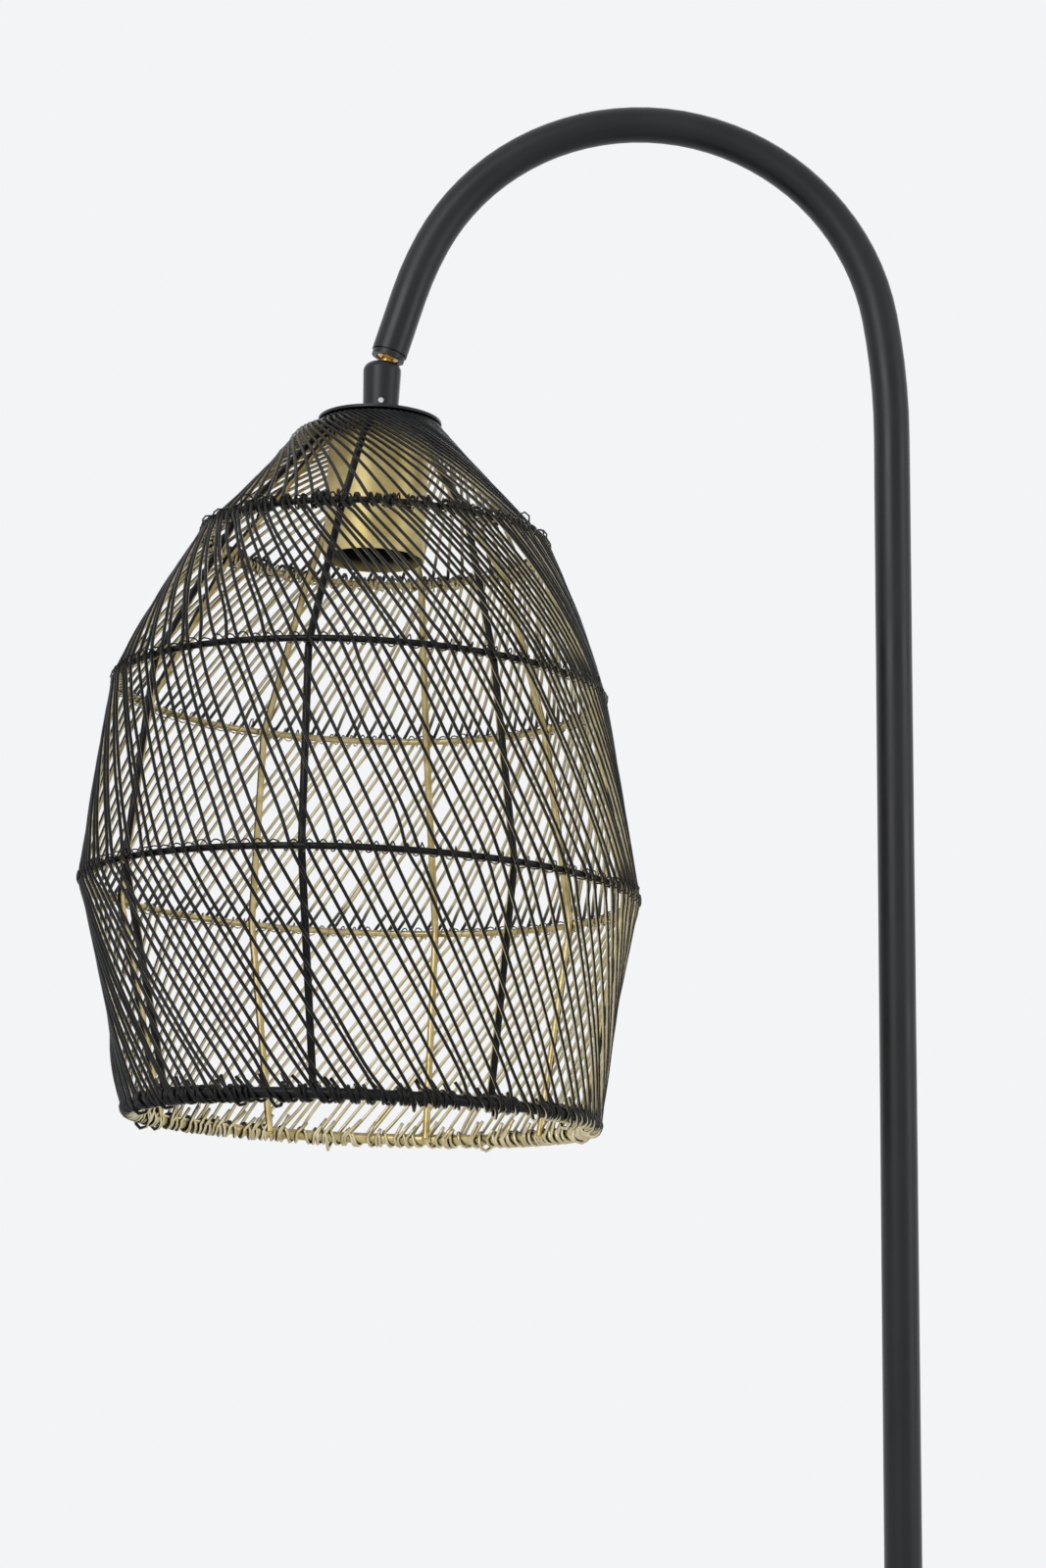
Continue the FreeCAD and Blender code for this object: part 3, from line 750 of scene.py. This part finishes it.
# %% Wrap the wires round the rim
rim = rings["rim_ring"]
rim_gap = 0.1
rim_spread = 1.1
wrap_step = 30
first_angle, last_angle = -30, 180
wrap_turns = (0, 1, 1, 2)
wrap_pitch = (1.7, 3.0)
stride_length = (7.0, 12.0)
stride_decay = 2.2
loose_share = 0.13
loose_slack, tight_slack = (1.8, 4.2), (0.0, 0.45)
slack_turn = 0.7
slack_left = 0.12
slack_lag = 0.3
tail_length = (5.0, 10.5)
tail_slant = (0.5, 1.1)
tail_inward = 0.6


def rim_knots(bearing):
    """Knots of one wire's wraps round the rim and of its cut tail."""
    snug = rim.rod + wire_radius + rim_gap
    slack = hand.uniform(*(loose_slack if hand.random() < loose_share else tight_slack))
    wraps = hand.choice(wrap_turns)
    pitch = hand.uniform(*wrap_pitch)
    stride = hand.uniform(*stride_length)
    knots = []
    for angle in range(first_angle, last_angle + 1 + 360 * wraps, wrap_step):
        swing = math.radians(angle)
        turns = (angle - first_angle) / 360
        under = max(0.0, math.sin(swing - slack_lag)) ** 2
        hang = slack * under * (1.0 if turns < slack_turn else slack_left)
        forward = stride * (1 - math.exp(-stride_decay * turns)) + pitch * turns
        radius = rim.radius + (snug + hang) * math.cos(swing)
        depth = rim.depth + (snug + hang) * math.sin(swing)
        knots.append((radius, bearing + math.degrees(forward / rim.radius), depth))
    radius, end_bearing, depth = knots[-1]
    tail = hand.uniform(*tail_length)
    slant = hand.uniform(*tail_slant)
    for share in (0.4, 1.0):
        back = math.degrees(slant * tail * share / rim.radius)
        knots.append((radius - tail_inward * share, end_bearing - back, depth - tail * share))
    return knots


wire_ends = [rim_knots(bearing + hand.uniform(-rim_spread, rim_spread)) for bearing in rim_bearings]
print("rim wraps made; the longest has", max(map(len, wire_ends)), "knots")

# %% [markdown]
# Now the wires are swept. From hold to hold a wire takes the bearing of a straight line, but its
# radius swells or sinks: it nearly lies on the ribs at the top, stands out where it was bent to
# follow the bell, and sinks a little above the rim. Just under the disc it also stands out further
# on the side away from the pole. A knot close to each hold keeps the bend there short. Each wire
# bows sideways by a millimetre or so, and two at the lower left have sprung loose and stand off
# the cage. Eight sides are enough for so thin a wire, because its faces are shaded smooth.

# %% Sweep the wires
wire_sides = 8
sample_step = 8.0
stretch_shares = (
    (0.08, 0.22, 0.46, 0.72, 0.92),
    (0.12, 0.5, 0.88),
    (0.1, 0.5, 0.9),
    (0.1, 0.35, 0.68, 0.94),
)
stretch_swells = (-0.8, 2.2, 0.6, -1.8)
neck_side_swell = 8.0
bow_spread = 0.9
swell_spread = 0.3
loose_wires = {6: (0.4, 2.0, 4.6, 1.2), 8: (0.1, 0.8, 2.0, 0.5)}


def between(upper, lower, share, swell, bow):
    """A knot part of the way along a stretch, swollen outwards and bowed to the side."""
    turn = math.radians(lower[1] - upper[1])
    ahead = upper[0] * (1 - share) + lower[0] * share * math.cos(turn)
    beside = lower[0] * share * math.sin(turn)
    radius = upper[0] + (lower[0] - upper[0]) * share + 4 * share * (1 - share) * swell
    bearing = upper[1] + math.degrees(math.atan2(beside, ahead) + bow / radius)
    return radius, bearing, upper[2] + (lower[2] - upper[2]) * share


verts, faces = [], []
for k in range(wire_count):
    path = list(wire_starts[k])
    holds = path[-1:] + wire_crossings[k] + wire_ends[k][:1]
    first_stretch = 1 if from_upper_ring(k) else 0
    path += holds[1 : 1 + first_stretch]
    for stretch in range(first_stretch, len(stretch_shares)):
        upper, lower = holds[stretch], holds[stretch + 1]
        bow = hand.gauss(0.0, bow_spread) if stretch else 0.0
        swell = stretch_swells[stretch] + hand.gauss(0.0, swell_spread)
        for number, share in enumerate(stretch_shares[stretch]):
            knot = between(upper, lower, share, swell, bow)
            if stretch == 0:
                far_side = max(0.0, -math.cos(math.radians(knot[1]))) * (1 - share) ** 2
                knot = (knot[0] + neck_side_swell * far_side, *knot[1:])
            if stretch == len(stretch_shares) - 1 and k in loose_wires:
                knot = (knot[0] + loose_wires[k][number], *knot[1:])
            path.append(knot)
        path.append(lower)
    path += wire_ends[k][1:]
    points = smooth([at(*knot) for knot in path], sample_step * MM)
    sweep(verts, faces, points, wire_radius * MM, wire_sides)
# Painted shadow: the depths of the rings, above which the wires are painted dark inside.
painted_shadow_ring_depths = [rings[name].depth for name in press_angles]
# The wires' lighter gold tones are a painted highlight on thin wire.
wire_paint = black_over_gold("black_over_gold_wire", ("#C9BB90", "#E6DCBA"), painted_shadow_ring_depths)
build("wound_wires", verts, faces, wire_paint, ["cage_wires"])

# %% [markdown]
# ## The bindings
#
# A thinner wire is laced round each middle ring and over every crossing, so that the wires keep
# their places. It is one long coil: it goes over a wire on the outside, over the top of the
# ring, down inside and back under. The laces stand up from the ring in little arches, neat on
# the two lower rings. The upper ring was laced untidily with a thicker wire, and now and then a
# lace anywhere was left as a larger loop.

# %% Lace the wires to the rings
lace_steps = 14
lace_sides = 5
Lacing = namedtuple("Lacing", "rod lowest highest droop sway")
lacings = {
    "upper_ring": Lacing(0.5, 0.6, 4.0, 2.4, 1.2),
    "middle_ring": Lacing(0.4, 0.6, 2.2, 0.7, 0.5),
    "wide_ring": Lacing(0.4, 0.5, 2.0, 0.8, 0.5),
}
arch_variation = (0.5, 1.0)
arch_lean = (0.9, 1.5)
droop_angle = 5.0
large_loop_share = 0.02
large_loop = 3.5

for name, lacing in lacings.items():
    ring = rings[name]
    order = sorted(crossings[name])
    knots = []
    for here, there in zip(order, order[1:] + [order[0] + 360.0]):
        arch = hand.uniform(lacing.lowest, lacing.highest) * hand.uniform(*arch_variation)
        if hand.random() < large_loop_share:
            arch += large_loop
        sway = hand.uniform(-lacing.sway, lacing.sway) * arch
        droop = hand.uniform(0.0, lacing.droop)
        lean_over = hand.uniform(*arch_lean)
        for j in range(lace_steps):
            swing = 2 * math.pi * j / lace_steps
            over_wire = 2 * wire_radius * max(0.0, math.cos(swing)) ** 2
            over_ring = arch * max(0.0, math.cos(swing - lean_over)) ** 2
            under_ring = droop * max(0.0, math.cos(swing - droop_angle)) ** 2
            reach = ring.rod + lacing.rod + wire_gap + over_wire + over_ring + under_ring
            along = here + (there - here) * (j / lace_steps)
            along += math.degrees(sway * math.sin(swing) / ring.radius)
            across = reach * math.cos(swing)
            knots.append(at(ring.radius + across, along, ring.depth - reach * math.sin(swing)))
    verts, faces = [], []
    sweep(verts, faces, knots, lacing.rod * MM, lace_sides)
    build("lacing_" + name, verts, faces, wire_paint)

# %% [markdown]
# ## The welds
#
# Each rib is welded to the inside of every ring, and below the top ring. A bead of weld is a small
# flattened lump, so a round grid of points, pushed about a little, is enough. All of them share
# one mesh.

# %% Weld the ribs to the rings
rib_bearings = (212.0, 258.0, 302.8, 352.0, 34.0, 72.0, 115.5, 157.3)
bead_sizes = (1.9, 3.2, 2.4)
bead_rows = 6
bead_columns = 10
bead_overlap = 0.2
bead_lumps = (0.88, 1.12)
top_bead_drop = 1.8
verts, faces = [], []
for name, ring in rings.items():
    for bearing in rib_bearings:
        drop = top_bead_drop if name == "top_ring" else 0.0
        centre = (ring.radius - ring.rod - bead_overlap, ring.depth + drop)
        first = len(verts)
        for row in range(bead_rows + 1):
            latitude = math.pi * row / bead_rows
            for column in range(bead_columns):
                longitude = 2 * math.pi * column / bead_columns
                lump = hand.uniform(*bead_lumps)
                out = bead_sizes[0] * math.sin(latitude) * math.cos(longitude) * lump
                along = bead_sizes[1] * math.sin(latitude) * math.sin(longitude) * lump
                up = bead_sizes[2] * math.cos(latitude)
                turn = bearing + math.degrees(along / ring.radius)
                verts.append(at(centre[0] + out, turn, centre[1] - up))
        for row in range(bead_rows):
            for column in range(bead_columns):
                a = first + row * bead_columns
                b = a + bead_columns
                k = (column + 1) % bead_columns
                faces.append((a + column, b + column, b + k, a + k))
build("weld_beads", verts, faces, rod_paint)

# %% [markdown]
# ## The studio
#
# The lamp stands on a pale floor that fades into a pale surround, so that no horizon cuts the
# picture. The surround is bright only where the camera sees it, or sees it mirrored in the
# finish. What lights the lamp is a gentle even glow and three soft panels, so a colour comes out
# about as it is written.

# %% Floor and surround
pale = colour("#F3F4F6")
half_floor = 5.0
fade_from, fade_to = 1.4, 3.6
glow = 0.55

world = bpy.data.worlds.new("pale_surround")
bpy.context.scene.world = world
world.use_nodes = True
tree = world.node_tree
seen = tree.nodes["Background"]
seen.inputs["Color"].default_value = pale
lighting = add(tree, "ShaderNodeBackground", {"Color": colour("#FFFFFF"), "Strength": glow})
ray = add(tree, "ShaderNodeLightPath")
direct = add(
    tree,
    "ShaderNodeMath",
    links={0: ray.outputs["Is Camera Ray"], 1: ray.outputs["Is Glossy Ray"]},
    operation="MAXIMUM",
)
direct = add(
    tree,
    "ShaderNodeMath",
    links={0: direct.outputs["Value"], 1: ray.outputs["Is Transmission Ray"]},
    operation="MAXIMUM",
)
surround = add(
    tree,
    "ShaderNodeMixShader",
    links={
        "Fac": direct.outputs["Value"],
        1: lighting.outputs["Background"],
        2: seen.outputs["Background"],
    },
)
tree.links.new(surround.outputs["Shader"], tree.nodes["World Output"].inputs["Surface"])

floor_mesh = bpy.data.meshes.new("studio_floor")
corners = [(x * half_floor, y * half_floor, 0) for x, y in ((-1, -1), (1, -1), (1, 1), (-1, 1))]
floor_mesh.from_pydata(corners, [], [(0, 1, 2, 3)])
floor = bpy.data.objects.new("studio_floor", floor_mesh)
bpy.context.scene.collection.objects.link(floor)

floor_paint = bpy.data.materials.new("pale_floor")
floor_paint.use_nodes = True
tree = floor_paint.node_tree
board = tree.nodes["Principled BSDF"]
board.inputs["Base Color"].default_value = colour("#EDEEF0")
board.inputs["Roughness"].default_value = 0.8
place = add(tree, "ShaderNodeTexCoord")
distance = add(
    tree, "ShaderNodeVectorMath", links={0: place.outputs["Object"]}, operation="LENGTH"
)
fade = add(
    tree,
    "ShaderNodeMapRange",
    {"From Min": fade_from, "From Max": fade_to},
    {"Value": distance.outputs["Value"]},
    interpolation_type="SMOOTHSTEP",
)
clear = add(tree, "ShaderNodeBsdfTransparent")
faded = add(
    tree,
    "ShaderNodeMixShader",
    links={"Fac": fade.outputs["Result"], 1: board.outputs["BSDF"], 2: clear.outputs["BSDF"]},
)
tree.links.new(faded.outputs["Shader"], tree.nodes["Material Output"].inputs["Surface"])
floor_mesh.materials.append(floor_paint)
print("floor fades out between", fade_from, "and", fade_to, "m")

# %% [markdown]
# The panels are area lights. The key stands to the left of the camera and above it, which gives
# the tube its long highlight a little left of the middle. A weaker panel on the right opens the
# dark side, and one behind and above draws a thin bright edge along the arch.

# %% Soft panels
aim = Vector((-0.22, 0.0, 1.1))
panels = {
    "key_panel": ((-1.5, -2.0, 2.3), 1.5, 26.0),
    "side_panel": ((2.0, -1.1, 1.5), 1.2, 9.0),
    "back_panel": ((0.4, 2.0, 2.6), 1.4, 12.0),
}
for name, (spot, size, power) in panels.items():
    light = bpy.data.lights.new(name, "AREA")
    light.size = size
    light.energy = power
    panel = bpy.data.objects.new(name, light)
    panel.location = spot
    panel.rotation_euler = (aim - Vector(spot)).to_track_quat("-Z", "Y").to_euler()
    bpy.context.scene.collection.objects.link(panel)
    print(name, power, "W")

# %% [markdown]
# ## The camera
#
# The view is from a little below the shade, looking slightly up, so the ring at the rim shows as
# a flat ellipse. The picture is upright, and Blender then counts the 36 mm sensor along its
# height.

# %% Camera
camera_spot = Vector((-0.295, -1.882, 0.7996))
pitch, yaw, roll = 10.77, 2.749, 0.572
lens = 80.61

camera_data = bpy.data.cameras.new("camera")
camera_data.sensor_width = 36.0
camera_data.lens = lens
camera = bpy.data.objects.new("camera", camera_data)
bpy.context.scene.collection.objects.link(camera)
aimed = Matrix.Rotation(math.radians(-yaw), 4, "Z") @ Matrix.Rotation(
    math.radians(90.0 + pitch), 4, "X"
)
camera.matrix_world = (
    Matrix.Translation(camera_spot) @ aimed @ Matrix.Rotation(math.radians(roll), 4, "Z")
)
bpy.context.scene.camera = camera
bpy.context.scene.view_settings.view_transform = "Standard"
print("camera", lens, "mm lens")
